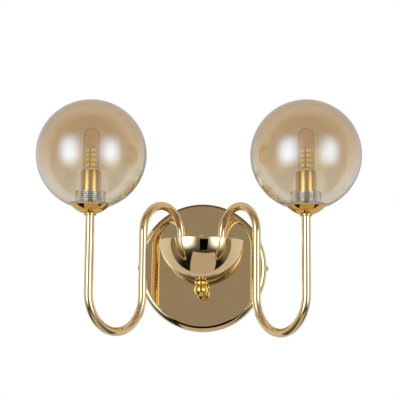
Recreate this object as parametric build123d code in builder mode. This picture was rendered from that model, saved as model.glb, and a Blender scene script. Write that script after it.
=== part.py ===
from build123d import *
from math import cos, radians, sin, sqrt
import os

# A wall sconce with two lamps on swan-neck arms, in millimetres.
# The wall is the plane y = 0, the room is on the -Y side and +Z is up.
# The origin is the centre of the round canopy, on the wall.

os.makedirs("parts", exist_ok=True)

# Clearances
slip_gap = 0.1          # round pieces pushed into a hole of the same body
thread_gap = 0.05       # screws and nuts on their threads
seat_gap = 0.15         # faces that lie on each other and come apart
loose_gap = 0.3         # round faces that pass each other when a piece moves

# Canopy: the round pan that covers the wall box
canopy_d = 155.0
canopy_depth = 25.0
canopy_wall = 1.2
canopy_edge_r = 6.5

# Wall bracket: a bent strip screwed to the wall box
bracket_width = 18.0
bracket_t = 2.0
bracket_tab_depth = 16.0
wall_screw_spacing = 60.0
wall_slot_d = 4.5
wall_slot_length = 10.0
earth_screw_inset = 23.5
earth_screw_d = 4.0
earth_head_d = 8.0
earth_head_h = 2.6

# Side screws that hold the canopy on the bracket
side_screw_d = 4.0
side_screw_y = -10.0
side_screw_reach = 9.0
side_head_d = 6.5
side_head_h = 2.4
side_slot_w = 1.0
side_slot_depth = 0.8

# Terminal block on the bracket
terminal_width = 30.0
terminal_depth = 13.0
terminal_height = 17.0
terminal_ways = 3
terminal_screw_d = 3.4
terminal_screw_h = 4.0
terminal_edge = 0.8

# Half bowl in front of the canopy
bowl_r = 50.0
bowl_wall = 1.2
bowl_flat = 8.0         # depth of the ball cut off for its flat back
bowl_rim_z = 27.5
bowl_height = 47.5
lid_t = 1.5
lid_drop = 1.5
nipple_d = 9.8
nipple_bore = 7.5
nipple_z = 13.0
nipple_end = 2.5        # thread beyond each nut
nut_wall = 2.3          # from the thread to the flat of a nut
nut_h = 4.0

# Rod, dome nut and finial on the bowl's axis
rod_d = 6.0
dome_r = 5.6
dome_base_h = 3.4
dome_wall = 2.0
finial_collar_d = 14.5
finial_collar_h = 2.9
finial_neck_d = 9.5
finial_ball_d = 16.0
finial_drop = 9.7       # ball's centre below the bowl
finial_thread = 9.0
finial_edge = 0.5

# Swan-neck arms
tube_d = 9.5
tube_wall = 1.0
arm_spread = 47.4       # between the arms where they leave the bowl
arm_angle = 51.0        # arm's plane, turned forward from the wall
arch_r = 32.0
arch_spring_z = 33.4
bend_r = 41.5           # the U below
bend_spring_z = -39.5
arm_tail = 1.0          # tube below its lower nut
upper_nut_h = 3.0

# Lamp holders on the ends of the arms
cup_bottom_z = 45.0
cup_rim_d = 41.5
cup_land_d = 14.0
cup_height = 8.6
cup_wall = 1.0
ring_d = 13.5
ring_h = 2.2
collar_d = 23.8
collar_floor = 3.0
collar_bore = 17.0
collar_top = 23.3       # collar's shoulder above the cup's underside
thread_pitch = 2.1
thread_depth = 0.9
thread_turns = 5
spigot_d = 19.8
spigot_h = 4.0
tube_end = 2.0          # tube above the nut in the collar
sleeve_d = 22.0
sleeve_wall = 1.0
sleeve_h = 22.7
socket_h = 16.0
pin_spacing = 9.0
pin_d = 1.4
pin_length = 10.0
pin_hole_depth = 11.5

# Bulbs
base_d = 15.4
base_h = 5.2
cover_d = 18.0
cover_wall = 1.2
cover_lap = 4.0         # cover over the base
cover_h = 49.5
core_square = 6.7
board_width = 6.2
board_t = 0.8
board_h = 24.0
chip_w = 2.3
chip_h = 3.5
chip_t = 0.7
chip_rows = 4
chip_pitch_z = 5.4
chip_pitch_x = 3.0
bulb_turn = 35.0        # bulb turned in its socket

# Globes
globe_r = 60.0
globe_wall = 2.0
lip_r = 5.0             # where the ball turns in to its flat mouth
mouth_margin = 2.15     # flat of the mouth beyond the cup's rim
mouth_r = 3.0           # where the mouth turns up into the neck
neck_gap = 0.55         # glass thread around the collar's ridges
neck_wall = 3.75
neck_fold_r = 2.0
neck_reach = 1.5        # neck above the collar's shoulder
gasket_t = 0.6
gasket_width = 1.1

# Leads inside the arms
lead_d = 2.4
lead_x = 1.5
lead_drop_r = 5.0
lead_turn_r = 8.0
lead_turn_y = 44.0      # where the lead turns towards the wall
lead_end_r = 3.6
lead_end_y = -9.5

# Places worked out from the sizes above
canopy_r = canopy_d / 2
canopy_inner_r = canopy_r - canopy_wall
face_y = -canopy_depth
bowl_y = face_y - (bowl_r - bowl_flat)
bowl_centre_z = bowl_rim_z - bowl_height + bowl_r
bowl_bottom_z = bowl_centre_z - bowl_r
bowl_back_y = face_y - bowl_wall
bowl_inner_r = bowl_r - bowl_wall
lid_top_z = bowl_rim_z - lid_drop
lid_bottom_z = lid_top_z - lid_t
tube_r = tube_d / 2
tube_bore_r = tube_r - tube_wall
tube_nut_af = tube_d + 2 * nut_wall
nipple_nut_af = nipple_d + 2 * nut_wall
arm_foot_z = lid_bottom_z - nut_h - arm_tail

arm_x = arm_spread / 2
arm_dx = cos(radians(arm_angle))
arm_dy = -sin(radians(arm_angle))
leg_x = arm_x + 2 * arch_r * arm_dx
leg_y = bowl_y + 2 * arch_r * arm_dy
lamp_x = leg_x + 2 * bend_r * arm_dx
lamp_y = leg_y + 2 * bend_r * arm_dy

cup_floor_z = cup_bottom_z + cup_wall
cup_rim_z = cup_bottom_z + cup_height
cup_rim_r = cup_rim_d / 2
cup_land_r = cup_land_d / 2
dish_rise = (cup_rim_r ** 2 - cup_land_r ** 2 + cup_height ** 2) / (2 * cup_height)
dish_z = cup_bottom_z + dish_rise
dish_r = sqrt(cup_land_r ** 2 + dish_rise ** 2)
dish_inner_r = dish_r - cup_wall
cup_floor_r = sqrt(dish_inner_r ** 2 - (dish_rise - cup_wall) ** 2)
collar_crest_r = collar_d / 2
collar_root_r = collar_crest_r - thread_depth
collar_shoulder_z = cup_bottom_z + collar_top
collar_body_z = dish_z - sqrt(dish_inner_r ** 2 - collar_root_r ** 2) + loose_gap
collar_floor_z = cup_floor_z + collar_floor
tube_top_z = collar_floor_z + nut_h + tube_end
spigot_top_z = collar_shoulder_z + spigot_h
socket_top_z = spigot_top_z + socket_h
base_z = socket_top_z + seat_gap
base_top_z = base_z + base_h

gasket_top_z = cup_rim_z + gasket_t
mouth_z = gasket_top_z + seat_gap
lip_z = mouth_z + lip_r
lip_centre_r = cup_rim_r + mouth_margin
lip_below = sqrt((globe_r - lip_r) ** 2 - lip_centre_r ** 2)
globe_z = lip_z + lip_below
neck_bore_r = collar_crest_r + neck_gap
neck_outer_r = neck_bore_r + neck_wall
neck_top_z = collar_shoulder_z + neck_reach

sides = {"left": -1, "right": 1}


def upright(x, y):
    """Plane for the half profile of a piece turned about a vertical axis."""
    return Plane(origin=(x, y, 0), x_dir=(1, 0, 0), z_dir=(0, -1, 0))


def spindle(x, y):
    """Vertical axis of a turned piece."""
    return Axis((x, y, 0), (0, 0, 1))


def keep(piece, name):
    """Label a finished piece and write it."""
    piece.part.label = name
    export_step(piece.part, f"parts/{name}.step")


# Wall bracket: flat strip on the wall with a tab bent forward at each end
tab_x = sqrt(canopy_inner_r ** 2 - (bracket_width / 2) ** 2) - loose_gap
earth_screw_x = tab_x - earth_screw_inset
with BuildPart() as wall_bracket:
    with BuildSketch(Plane.XY) as strip:
        with BuildLine():
            Polyline(
                (-tab_x, 0),
                (tab_x, 0),
                (tab_x, -bracket_tab_depth),
                (tab_x - bracket_t, -bracket_tab_depth),
                (tab_x - bracket_t, -bracket_t),
                (bracket_t - tab_x, -bracket_t),
                (bracket_t - tab_x, -bracket_tab_depth),
                (-tab_x, -bracket_tab_depth),
                close=True,
            )
        make_face()
    extrude(amount=bracket_width / 2, both=True)
    outer_bends = wall_bracket.edges().filter_by(Axis.Z).group_by(Axis.Y)[-1]
    fillet(outer_bends, bracket_t)
    with BuildSketch(Plane.XZ):
        with GridLocations(wall_screw_spacing, 0, 2, 1):
            SlotOverall(wall_slot_length, wall_slot_d)
        with Locations((earth_screw_x, 0)):
            Circle(earth_screw_d / 2 + thread_gap)
    extrude(amount=bracket_t, mode=Mode.SUBTRACT)
    with BuildSketch(Plane.YZ):
        with Locations((side_screw_y, 0)):
            Circle(side_screw_d / 2 + thread_gap)
    extrude(amount=tab_x, both=True, mode=Mode.SUBTRACT)
keep(wall_bracket, "wall_bracket")

# Earth screw in the bracket
with BuildPart() as earth_screw:
    with BuildSketch(Plane.XZ):
        with Locations((earth_screw_x, 0)):
            Circle(earth_screw_d / 2)
    extrude(amount=bracket_t)
    with BuildSketch(Plane.XZ.offset(bracket_t)):
        with Locations((earth_screw_x, 0)):
            Circle(earth_head_d / 2)
    extrude(amount=earth_head_h)
    head_rim = earth_screw.edges().filter_by(GeomType.CIRCLE).sort_by(Axis.Y)[0]
    fillet(head_rim, earth_head_h / 3)
    with BuildSketch(Plane.XZ.offset(bracket_t + earth_head_h)):
        with Locations((earth_screw_x, 0)):
            Rectangle(earth_head_d, side_slot_w)
    extrude(amount=-side_slot_depth, mode=Mode.SUBTRACT)
keep(earth_screw, "earth_screw")

# Terminal block, with an entry above and below each way
terminal_pitch = terminal_width / terminal_ways
with BuildPart() as terminal_block:
    with BuildSketch(Plane.XZ.offset(bracket_t)):
        Rectangle(terminal_width, terminal_height)
    extrude(amount=terminal_depth)
    front_edges = terminal_block.faces().sort_by(Axis.Y)[0].edges()
    chamfer(front_edges, terminal_edge)
    with BuildSketch(Plane.XZ.offset(bracket_t + terminal_depth)):
        with GridLocations(terminal_pitch, terminal_height / 2, terminal_ways, 2):
            Circle(terminal_screw_d / 2 + slip_gap)
    extrude(amount=-terminal_screw_h - terminal_edge, mode=Mode.SUBTRACT)
keep(terminal_block, "terminal_block")

# Clamping screws of the terminal block
with BuildPart() as terminal_screws:
    with BuildSketch(Plane.XZ.offset(bracket_t + terminal_depth - terminal_screw_h - terminal_edge)):
        with GridLocations(terminal_pitch, terminal_height / 2, terminal_ways, 2):
            Circle(terminal_screw_d / 2)
    extrude(amount=terminal_screw_h)
keep(terminal_screws, "terminal_screws")

# Canopy: spun pan with a rounded edge
with BuildPart() as canopy:
    with BuildSketch(Plane.XY) as pan:
        with BuildLine():
            Polyline(
                (0, face_y),
                (canopy_r, face_y),
                (canopy_r, 0),
                (canopy_inner_r, 0),
                (canopy_inner_r, face_y + canopy_wall),
                (0, face_y + canopy_wall),
                close=True,
            )
        make_face()
        fillet(pan.vertices().sort_by(Axis.X)[-2:].sort_by(Axis.Y)[0], canopy_edge_r)
        inner_corner = pan.vertices().sort_by_distance((canopy_inner_r, face_y + canopy_wall))[0]
        fillet(inner_corner, max(canopy_edge_r - canopy_wall, canopy_wall))
    revolve(axis=Axis.Y)
    with BuildSketch(Plane.XZ.offset(canopy_depth)):
        with Locations((0, nipple_z)):
            Circle(nipple_d / 2 + slip_gap)
    extrude(amount=-canopy_wall, mode=Mode.SUBTRACT)
    with BuildSketch(Plane.YZ):
        with Locations((side_screw_y, 0)):
            Circle(side_screw_d / 2 + loose_gap)
    extrude(amount=canopy_r, both=True, mode=Mode.SUBTRACT)
keep(canopy, "canopy")


def make_side_screw(name, side):
    """Round-headed screw through the canopy's side into the bracket's tab."""
    seat_x = canopy_r + seat_gap
    with BuildPart() as screw:
        with BuildSketch(Plane.YZ.offset(side * (seat_x - side_screw_reach))):
            with Locations((side_screw_y, 0)):
                Circle(side_screw_d / 2)
        extrude(amount=side * side_screw_reach)
        with BuildSketch(Plane.YZ.offset(side * seat_x)):
            with Locations((side_screw_y, 0)):
                Circle(side_head_d / 2)
        extrude(amount=side * side_head_h)
        head_rim = screw.edges().filter_by(GeomType.CIRCLE).sort_by(Axis.X)[-1 if side > 0 else 0]
        fillet(head_rim, side_head_h * 0.6)
        with BuildSketch(Plane.YZ.offset(side * (seat_x + side_head_h))):
            with Locations((side_screw_y, 0)):
                Rectangle(side_head_d, side_slot_w)
        extrude(amount=-side * side_slot_depth, mode=Mode.SUBTRACT)
    keep(screw, name)


for side_name, side in sides.items():
    make_side_screw(f"side_screw_{side_name}", side)


def half_ball(radius, top_z):
    """Half profile of a ball about the bowl's centre, cut level at the top."""
    reach = sqrt(radius ** 2 - (top_z - bowl_centre_z) ** 2)
    slope = radius * sqrt(0.5)
    with BuildLine() as outline:
        ThreePointArc(
            (0, bowl_centre_z - radius),
            (slope, bowl_centre_z - slope),
            (reach, top_z),
        )
        Line((reach, top_z), (0, top_z))
        Line((0, top_z), (0, bowl_centre_z - radius))
    return outline.line


# Space inside the bowl, with a flat back one wall in front of the canopy
with BuildPart() as bowl_space:
    with BuildSketch(upright(0, bowl_y)):
        add(half_ball(bowl_inner_r, bowl_rim_z))
        make_face()
    revolve(axis=spindle(0, bowl_y))
    split(bisect_by=Plane.XZ.offset(-bowl_back_y), keep=Keep.TOP)

# Bowl: half a spun ball with a flat back on the canopy's face
with BuildPart() as bowl:
    with BuildSketch(upright(0, bowl_y)):
        add(half_ball(bowl_r, bowl_rim_z))
        make_face()
    revolve(axis=spindle(0, bowl_y))
    split(bisect_by=Plane.XZ.offset(canopy_depth), keep=Keep.TOP)
    add(bowl_space.part, mode=Mode.SUBTRACT)
    with BuildSketch(Plane.XZ.offset(canopy_depth)):
        with Locations((0, nipple_z)):
            Circle(nipple_d / 2 + slip_gap)
    extrude(amount=bowl_wall, mode=Mode.SUBTRACT)
    with BuildSketch(Plane.XY.offset(bowl_bottom_z)):
        with Locations((0, bowl_y)):
            Circle(rod_d / 2 + slip_gap)
    extrude(amount=2 * bowl_wall, mode=Mode.SUBTRACT)
keep(bowl, "bowl")

# Lid let into the bowl's rim, resting on its narrowing wall
lid_r = sqrt(bowl_inner_r ** 2 - (lid_bottom_z - bowl_centre_z) ** 2) - slip_gap
with BuildPart() as bowl_lid:
    with BuildSketch(Plane.XY.offset(lid_bottom_z)):
        with Locations((0, bowl_y)):
            Circle(lid_r)
            Circle(rod_d / 2 + slip_gap, mode=Mode.SUBTRACT)
            with GridLocations(arm_spread, 0, 2, 1):
                Circle(tube_r + slip_gap, mode=Mode.SUBTRACT)
    extrude(amount=lid_t)
    split(bisect_by=Plane.XZ.offset(slip_gap - bowl_back_y), keep=Keep.TOP)
keep(bowl_lid, "bowl_lid")

# Threaded nipple that carries the bowl and lets the leads through
canopy_back_y = face_y + canopy_wall
nipple_front_y = bowl_back_y - nut_h - nipple_end
nipple_length = canopy_back_y + nut_h + nipple_end - nipple_front_y
with BuildPart() as bowl_nipple:
    with BuildSketch(Plane.XZ.offset(-nipple_front_y)):
        with Locations((0, nipple_z)):
            Circle(nipple_d / 2)
            Circle(nipple_bore / 2, mode=Mode.SUBTRACT)
    extrude(amount=-nipple_length)
keep(bowl_nipple, "bowl_nipple")

# Its two nuts, one in the bowl and one in the canopy
with BuildPart() as nipple_nuts:
    for nut_y in (bowl_back_y, canopy_back_y + nut_h):
        with BuildSketch(Plane.XZ.offset(-nut_y)):
            with Locations((0, nipple_z)):
                RegularPolygon(nipple_nut_af / 2, 6, major_radius=False)
                Circle(nipple_d / 2 + thread_gap, mode=Mode.SUBTRACT)
        extrude(amount=nut_h)
keep(nipple_nuts, "nipple_nuts")

# Threaded rod from the finial to the dome nut
rod_bottom_z = bowl_bottom_z - finial_thread
rod_top_z = lid_top_z + dome_base_h + dome_r - dome_wall
with BuildPart() as bowl_rod:
    with BuildSketch(Plane.XY.offset(rod_bottom_z)):
        with Locations((0, bowl_y)):
            Circle(rod_d / 2)
    extrude(amount=rod_top_z - rod_bottom_z)
keep(bowl_rod, "bowl_rod")

# Dome nut that draws the lid down
dome_z = lid_top_z + dome_base_h
with BuildPart() as dome_nut:
    with BuildSketch(Plane.XY.offset(lid_top_z)):
        with Locations((0, bowl_y)):
            RegularPolygon(dome_r, 6, major_radius=False)
    extrude(amount=dome_base_h)
    with BuildSketch(upright(0, bowl_y)):
        with BuildLine():
            Line((0, dome_z), (dome_r, dome_z))
            CenterArc((0, dome_z), dome_r, 0, 90)
            Line((0, dome_z + dome_r), (0, dome_z))
        make_face()
    revolve(axis=spindle(0, bowl_y))
    with BuildSketch(Plane.XY.offset(lid_top_z)):
        with Locations((0, bowl_y)):
            Circle(rod_d / 2 + thread_gap)
    extrude(amount=rod_top_z - lid_top_z + seat_gap, mode=Mode.SUBTRACT)
keep(dome_nut, "dome_nut")

# Finial under the bowl: collar, neck and ball turned in one piece
finial_top_z = bowl_bottom_z - seat_gap
finial_ball_z = bowl_bottom_z - finial_drop
with BuildPart() as finial:
    with BuildSketch(Plane.XY.offset(finial_top_z)):
        with Locations((0, bowl_y)):
            Circle(finial_collar_d / 2)
    extrude(amount=-finial_collar_h)
    fillet(finial.edges().filter_by(GeomType.CIRCLE), finial_edge)
    with BuildSketch(Plane.XY.offset(finial_top_z)):
        with Locations((0, bowl_y)):
            Circle(finial_neck_d / 2)
    extrude(amount=finial_ball_z - finial_top_z)
    with BuildSketch(upright(0, bowl_y)):
        with BuildLine():
            CenterArc((0, finial_ball_z), finial_ball_d / 2, -90, 180)
            Line(
                (0, finial_ball_z + finial_ball_d / 2),
                (0, finial_ball_z - finial_ball_d / 2),
            )
        make_face()
    revolve(axis=spindle(0, bowl_y))
    with BuildSketch(Plane.XY.offset(finial_top_z)):
        with Locations((0, bowl_y)):
            Circle(rod_d / 2 + thread_gap)
    extrude(amount=rod_bottom_z - seat_gap - finial_top_z, mode=Mode.SUBTRACT)
keep(finial, "finial")


def arm_bends(side, top_z):
    """Line of an arm from its lamp end down round the U, over the arch and into the bowl."""
    lamp = (side * lamp_x, lamp_y)
    leg = (side * leg_x, leg_y)
    foot = (side * arm_x, bowl_y)
    bend_mid = ((lamp[0] + leg[0]) / 2, (lamp[1] + leg[1]) / 2, bend_spring_z - bend_r)
    arch_mid = ((leg[0] + foot[0]) / 2, (leg[1] + foot[1]) / 2, arch_spring_z + arch_r)
    with BuildLine() as bends:
        Line((*lamp, top_z), (*lamp, bend_spring_z))
        ThreePointArc((*lamp, bend_spring_z), bend_mid, (*leg, bend_spring_z))
        Line((*leg, bend_spring_z), (*leg, arch_spring_z))
        ThreePointArc((*leg, arch_spring_z), arch_mid, (*foot, arch_spring_z))
        Line((*foot, arch_spring_z), (*foot, arm_foot_z))
    return bends.line


def make_arm(name, side):
    """Bent tube, threaded at both ends."""
    with BuildPart() as arm:
        with BuildSketch(Plane.XY.offset(tube_top_z)):
            with Locations((side * lamp_x, lamp_y)):
                Circle(tube_r)
                Circle(tube_bore_r, mode=Mode.SUBTRACT)
        sweep(path=arm_bends(side, tube_top_z))
    keep(arm, name)


def make_lead(name, side):
    """Lead from the lamp's socket through the arm, the bowl and the nipple to the terminals."""
    foot_x = side * arm_x
    end_x = side * lead_x
    with BuildPart() as lead:
        with BuildLine() as route:
            add(arm_bends(side, spigot_top_z))
            FilletPolyline(
                (foot_x, bowl_y, arm_foot_z),
                (foot_x, bowl_y, nipple_z),
                (end_x, -lead_turn_y, nipple_z),
                (end_x, lead_end_y, nipple_z),
                (end_x, lead_end_y, terminal_height / 2),
                radius=[lead_drop_r, lead_turn_r, lead_end_r],
            )
        with BuildSketch(Plane.XY.offset(spigot_top_z)):
            with Locations((side * lamp_x, lamp_y)):
                Circle(lead_d / 2)
        sweep(path=route.line)
    keep(lead, name)


# Nuts that lock both arms on the lid, above and below it
with BuildPart() as arm_nuts:
    for nut_z, height in ((lid_top_z, upper_nut_h), (lid_bottom_z - nut_h, nut_h)):
        with BuildSketch(Plane.XY.offset(nut_z)):
            with Locations((-arm_x, bowl_y), (arm_x, bowl_y)):
                RegularPolygon(tube_nut_af / 2, 6, major_radius=False)
                Circle(tube_r + thread_gap, mode=Mode.SUBTRACT)
        extrude(amount=height)
keep(arm_nuts, "arm_nuts")


def make_cup_ring(name, x):
    """Round nut on the tube, under the cup."""
    with BuildPart() as ring:
        with BuildSketch(Plane.XY.offset(cup_bottom_z - ring_h)):
            with Locations((x, lamp_y)):
                Circle(ring_d / 2)
        extrude(amount=ring_h)
        fillet(ring.edges().sort_by(Axis.Z)[0], ring_h / 3)
        with BuildSketch(Plane.XY.offset(cup_bottom_z - ring_h)):
            with Locations((x, lamp_y)):
                Circle(tube_r + thread_gap)
        extrude(amount=ring_h, mode=Mode.SUBTRACT)
    keep(ring, name)


def make_cup(name, x):
    """Shallow dish under the globe, with a small flat land in the middle."""
    mid_r = (cup_land_r + cup_rim_r) / 2
    inner_rim_r = sqrt(dish_inner_r ** 2 - (dish_z - cup_rim_z) ** 2)
    inner_mid_r = (cup_floor_r + inner_rim_r) / 2
    with BuildPart() as cup:
        with BuildSketch(upright(x, lamp_y)):
            with BuildLine():
                Line((0, cup_bottom_z), (cup_land_r, cup_bottom_z))
                ThreePointArc(
                    (cup_land_r, cup_bottom_z),
                    (mid_r, dish_z - sqrt(dish_r ** 2 - mid_r ** 2)),
                    (cup_rim_r, cup_rim_z),
                )
                Line((cup_rim_r, cup_rim_z), (inner_rim_r, cup_rim_z))
                ThreePointArc(
                    (inner_rim_r, cup_rim_z),
                    (inner_mid_r, dish_z - sqrt(dish_inner_r ** 2 - inner_mid_r ** 2)),
                    (cup_floor_r, cup_floor_z),
                )
                Line((cup_floor_r, cup_floor_z), (0, cup_floor_z))
                Line((0, cup_floor_z), (0, cup_bottom_z))
            make_face()
        revolve(axis=spindle(x, lamp_y))
        with BuildSketch(Plane.XY.offset(cup_bottom_z)):
            with Locations((x, lamp_y)):
                Circle(tube_r + slip_gap)
        extrude(amount=cup_wall, mode=Mode.SUBTRACT)
    keep(cup, name)


def make_threaded_collar(name, x):
    """Aluminium collar with ridges for the globe's neck, and a spigot for the sleeve."""
    foot_r = cup_floor_r - slip_gap
    ridge_top_z = collar_shoulder_z - thread_pitch / 2
    ridges = []
    for turn in range(thread_turns):
        ridge_z = ridge_top_z - (thread_turns - turn) * thread_pitch
        ridges.append((collar_root_r, ridge_z))
        ridges.append((collar_crest_r, ridge_z + thread_pitch * 0.25))
        ridges.append((collar_crest_r, ridge_z + thread_pitch * 0.55))
        ridges.append((collar_root_r, ridge_z + thread_pitch * 0.8))
    with BuildPart() as collar:
        with BuildSketch(upright(x, lamp_y)):
            with BuildLine():
                Polyline(
                    (tube_r + slip_gap, cup_floor_z),
                    (foot_r, cup_floor_z),
                    (foot_r, collar_body_z),
                    (collar_root_r, collar_body_z),
                    *ridges,
                    (collar_root_r, collar_shoulder_z),
                    (spigot_d / 2, collar_shoulder_z),
                    (spigot_d / 2, spigot_top_z),
                    (collar_bore / 2, spigot_top_z),
                    (collar_bore / 2, collar_floor_z),
                    (tube_r + slip_gap, collar_floor_z),
                    close=True,
                )
            make_face()
        revolve(axis=spindle(x, lamp_y))
    keep(collar, name)


# Nuts inside the collars, on the ends of the tubes
with BuildPart() as holder_nuts:
    with BuildSketch(Plane.XY.offset(collar_floor_z)):
        with Locations((-lamp_x, lamp_y), (lamp_x, lamp_y)):
            RegularPolygon(tube_nut_af / 2, 6, major_radius=False)
            Circle(tube_r + thread_gap, mode=Mode.SUBTRACT)
    extrude(amount=nut_h)
keep(holder_nuts, "holder_nuts")


def make_sleeve(name, x):
    """Polished sleeve over the socket, pushed on the collar's spigot."""
    with BuildPart() as sleeve:
        with BuildSketch(Plane.XY.offset(collar_shoulder_z)):
            with Locations((x, lamp_y)):
                Circle(sleeve_d / 2)
                Circle(sleeve_d / 2 - sleeve_wall, mode=Mode.SUBTRACT)
        extrude(amount=sleeve_h)
        top_rim = sleeve.faces().sort_by(Axis.Z)[-1].edges()
        fillet(top_rim, sleeve_wall / 3)
    keep(sleeve, name)


def pin_places(x):
    """Centres of the two pins, in line with the turned bulb."""
    dx = pin_spacing / 2 * cos(radians(bulb_turn))
    dy = pin_spacing / 2 * sin(radians(bulb_turn))
    return [(x - dx, lamp_y - dy), (x + dx, lamp_y + dy)]


def make_socket(name, x):
    """Ceramic two-pin socket inside the sleeve."""
    with BuildPart() as socket:
        with BuildSketch(Plane.XY.offset(spigot_top_z)):
            with Locations((x, lamp_y)):
                Circle(sleeve_d / 2 - sleeve_wall - slip_gap)
        extrude(amount=socket_h)
        with BuildSketch(Plane.XY.offset(socket_top_z)):
            with Locations(*pin_places(x)):
                Circle(pin_d / 2 + loose_gap)
        extrude(amount=-pin_hole_depth, mode=Mode.SUBTRACT)
    keep(socket, name)


def make_bulb_base(name, x):
    """Base of the bulb."""
    with BuildPart() as base:
        with BuildSketch(Plane.XY.offset(base_z)):
            with Locations((x, lamp_y)):
                Circle(base_d / 2)
        extrude(amount=base_h)
    keep(base, name)


def make_bulb_pins(name, x):
    """Two contact pins under the base."""
    with BuildPart() as pins:
        with BuildSketch(Plane.XY.offset(base_z - pin_length)):
            with Locations(*pin_places(x)):
                Circle(pin_d / 2)
        extrude(amount=pin_length)
        fillet(pins.edges().group_by(Axis.Z)[0], pin_d / 3)
    keep(pins, name)


def bulb_face(x, quarter, out):
    """Upright plane on one of the four sides of the bulb's post."""
    turn = radians(bulb_turn + 90 * quarter)
    normal = (sin(turn), -cos(turn), 0)
    along = (cos(turn), sin(turn), 0)
    origin = (x + out * normal[0], lamp_y + out * normal[1], base_top_z + board_h / 2)
    return Plane(origin=origin, x_dir=along, z_dir=normal)


def make_led_core(name, x):
    """Square core of the bulb's post."""
    with BuildPart() as core:
        with BuildSketch(Plane.XY.offset(base_top_z)):
            with Locations((x, lamp_y)):
                Rectangle(core_square, core_square, rotation=bulb_turn)
        extrude(amount=board_h)
    keep(core, name)


def make_led_boards(name, x):
    """Narrow circuit board on each of the core's four sides, open at the corners."""
    with BuildPart() as boards:
        for quarter in range(4):
            with BuildSketch(bulb_face(x, quarter, core_square / 2)):
                Rectangle(board_width, board_h)
            extrude(amount=board_t)
    keep(boards, name)


def make_led_chips(name, x):
    """Yellow light chips on the four boards."""
    with BuildPart() as chips:
        for quarter in range(4):
            with BuildSketch(bulb_face(x, quarter, core_square / 2 + board_t)):
                with GridLocations(chip_pitch_x, chip_pitch_z, 2, chip_rows):
                    Rectangle(chip_w, chip_h)
            extrude(amount=chip_t)
    keep(chips, name)


def make_bulb_cover(name, x):
    """Clear cover of the bulb, glued over the base, with a rounded end."""
    outer_r = cover_d / 2
    inner_r = outer_r - cover_wall
    foot_z = base_top_z - cover_lap
    end_z = foot_z + cover_h - outer_r
    with BuildPart() as cover:
        with BuildSketch(upright(x, lamp_y)):
            with BuildLine():
                Line((inner_r, foot_z), (outer_r, foot_z))
                Line((outer_r, foot_z), (outer_r, end_z))
                CenterArc((0, end_z), outer_r, 0, 90)
                Line((0, end_z + outer_r), (0, end_z + inner_r))
                CenterArc((0, end_z), inner_r, 0, 90)
                Line((inner_r, end_z), (inner_r, foot_z))
            make_face()
        revolve(axis=spindle(x, lamp_y))
    keep(cover, name)


def make_gasket(name, x):
    """Clear ring between the cup's rim and the globe's lip."""
    with BuildPart() as gasket:
        with BuildSketch(Plane.XY.offset(cup_rim_z)):
            with Locations((x, lamp_y)):
                Circle(cup_rim_r)
                Circle(cup_rim_r - gasket_width, mode=Mode.SUBTRACT)
        extrude(amount=gasket_t)
    keep(gasket, name)


def make_globe(name, x):
    """Blown glass globe with a flat mouth that turns up to a thick moulded neck."""
    inner_r = globe_r - globe_wall
    lip_inner_r = lip_r - globe_wall
    floor_z = mouth_z + globe_wall
    tangent = globe_r / (globe_r - lip_r)
    inner_tangent = inner_r / (globe_r - lip_r)
    lip_turn = Vector(lip_centre_r, -lip_below, 0).normalized() + Vector(0, -1, 0)
    lip_mid = lip_turn.normalized()
    corner = sqrt(0.5)
    with BuildPart() as globe:
        with BuildSketch(upright(x, lamp_y)):
            with BuildLine():
                ThreePointArc(
                    (0, globe_z + globe_r),
                    (globe_r, globe_z),
                    (lip_centre_r * tangent, globe_z - lip_below * tangent),
                )
                ThreePointArc(
                    (lip_centre_r * tangent, globe_z - lip_below * tangent),
                    (lip_centre_r + lip_r * lip_mid.X, lip_z + lip_r * lip_mid.Y),
                    (lip_centre_r, mouth_z),
                )
                Line((lip_centre_r, mouth_z), (neck_bore_r + mouth_r, mouth_z))
                ThreePointArc(
                    (neck_bore_r + mouth_r, mouth_z),
                    (neck_bore_r + mouth_r * (1 - corner), mouth_z + mouth_r * (1 - corner)),
                    (neck_bore_r, mouth_z + mouth_r),
                )
                Line((neck_bore_r, mouth_z + mouth_r), (neck_bore_r, neck_top_z))
                Line((neck_bore_r, neck_top_z), (neck_outer_r, neck_top_z))
                Line((neck_outer_r, neck_top_z), (neck_outer_r, floor_z + neck_fold_r))
                ThreePointArc(
                    (neck_outer_r, floor_z + neck_fold_r),
                    (neck_outer_r + neck_fold_r * (1 - corner), floor_z + neck_fold_r * (1 - corner)),
                    (neck_outer_r + neck_fold_r, floor_z),
                )
                Line((neck_outer_r + neck_fold_r, floor_z), (lip_centre_r, floor_z))
                ThreePointArc(
                    (lip_centre_r, floor_z),
                    (lip_centre_r + lip_inner_r * lip_mid.X, lip_z + lip_inner_r * lip_mid.Y),
                    (lip_centre_r * inner_tangent, globe_z - lip_below * inner_tangent),
                )
                ThreePointArc(
                    (lip_centre_r * inner_tangent, globe_z - lip_below * inner_tangent),
                    (inner_r, globe_z),
                    (0, globe_z + inner_r),
                )
                Line((0, globe_z + inner_r), (0, globe_z + globe_r))
            make_face()
        revolve(axis=spindle(x, lamp_y))
    keep(globe, name)


for side_name, side in sides.items():
    x = side * lamp_x
    make_arm(f"arm_{side_name}", side)
    make_lead(f"lead_{side_name}", side)
    make_cup_ring(f"cup_ring_{side_name}", x)
    make_cup(f"cup_{side_name}", x)
    make_threaded_collar(f"threaded_collar_{side_name}", x)
    make_sleeve(f"sleeve_{side_name}", x)
    make_socket(f"socket_{side_name}", x)
    make_bulb_base(f"bulb_base_{side_name}", x)
    make_bulb_pins(f"bulb_pins_{side_name}", x)
    make_led_core(f"led_core_{side_name}", x)
    make_led_boards(f"led_boards_{side_name}", x)
    make_led_chips(f"led_chips_{side_name}", x)
    make_bulb_cover(f"bulb_cover_{side_name}", x)
    make_gasket(f"gasket_{side_name}", x)
    make_globe(f"globe_{side_name}", x)
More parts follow.
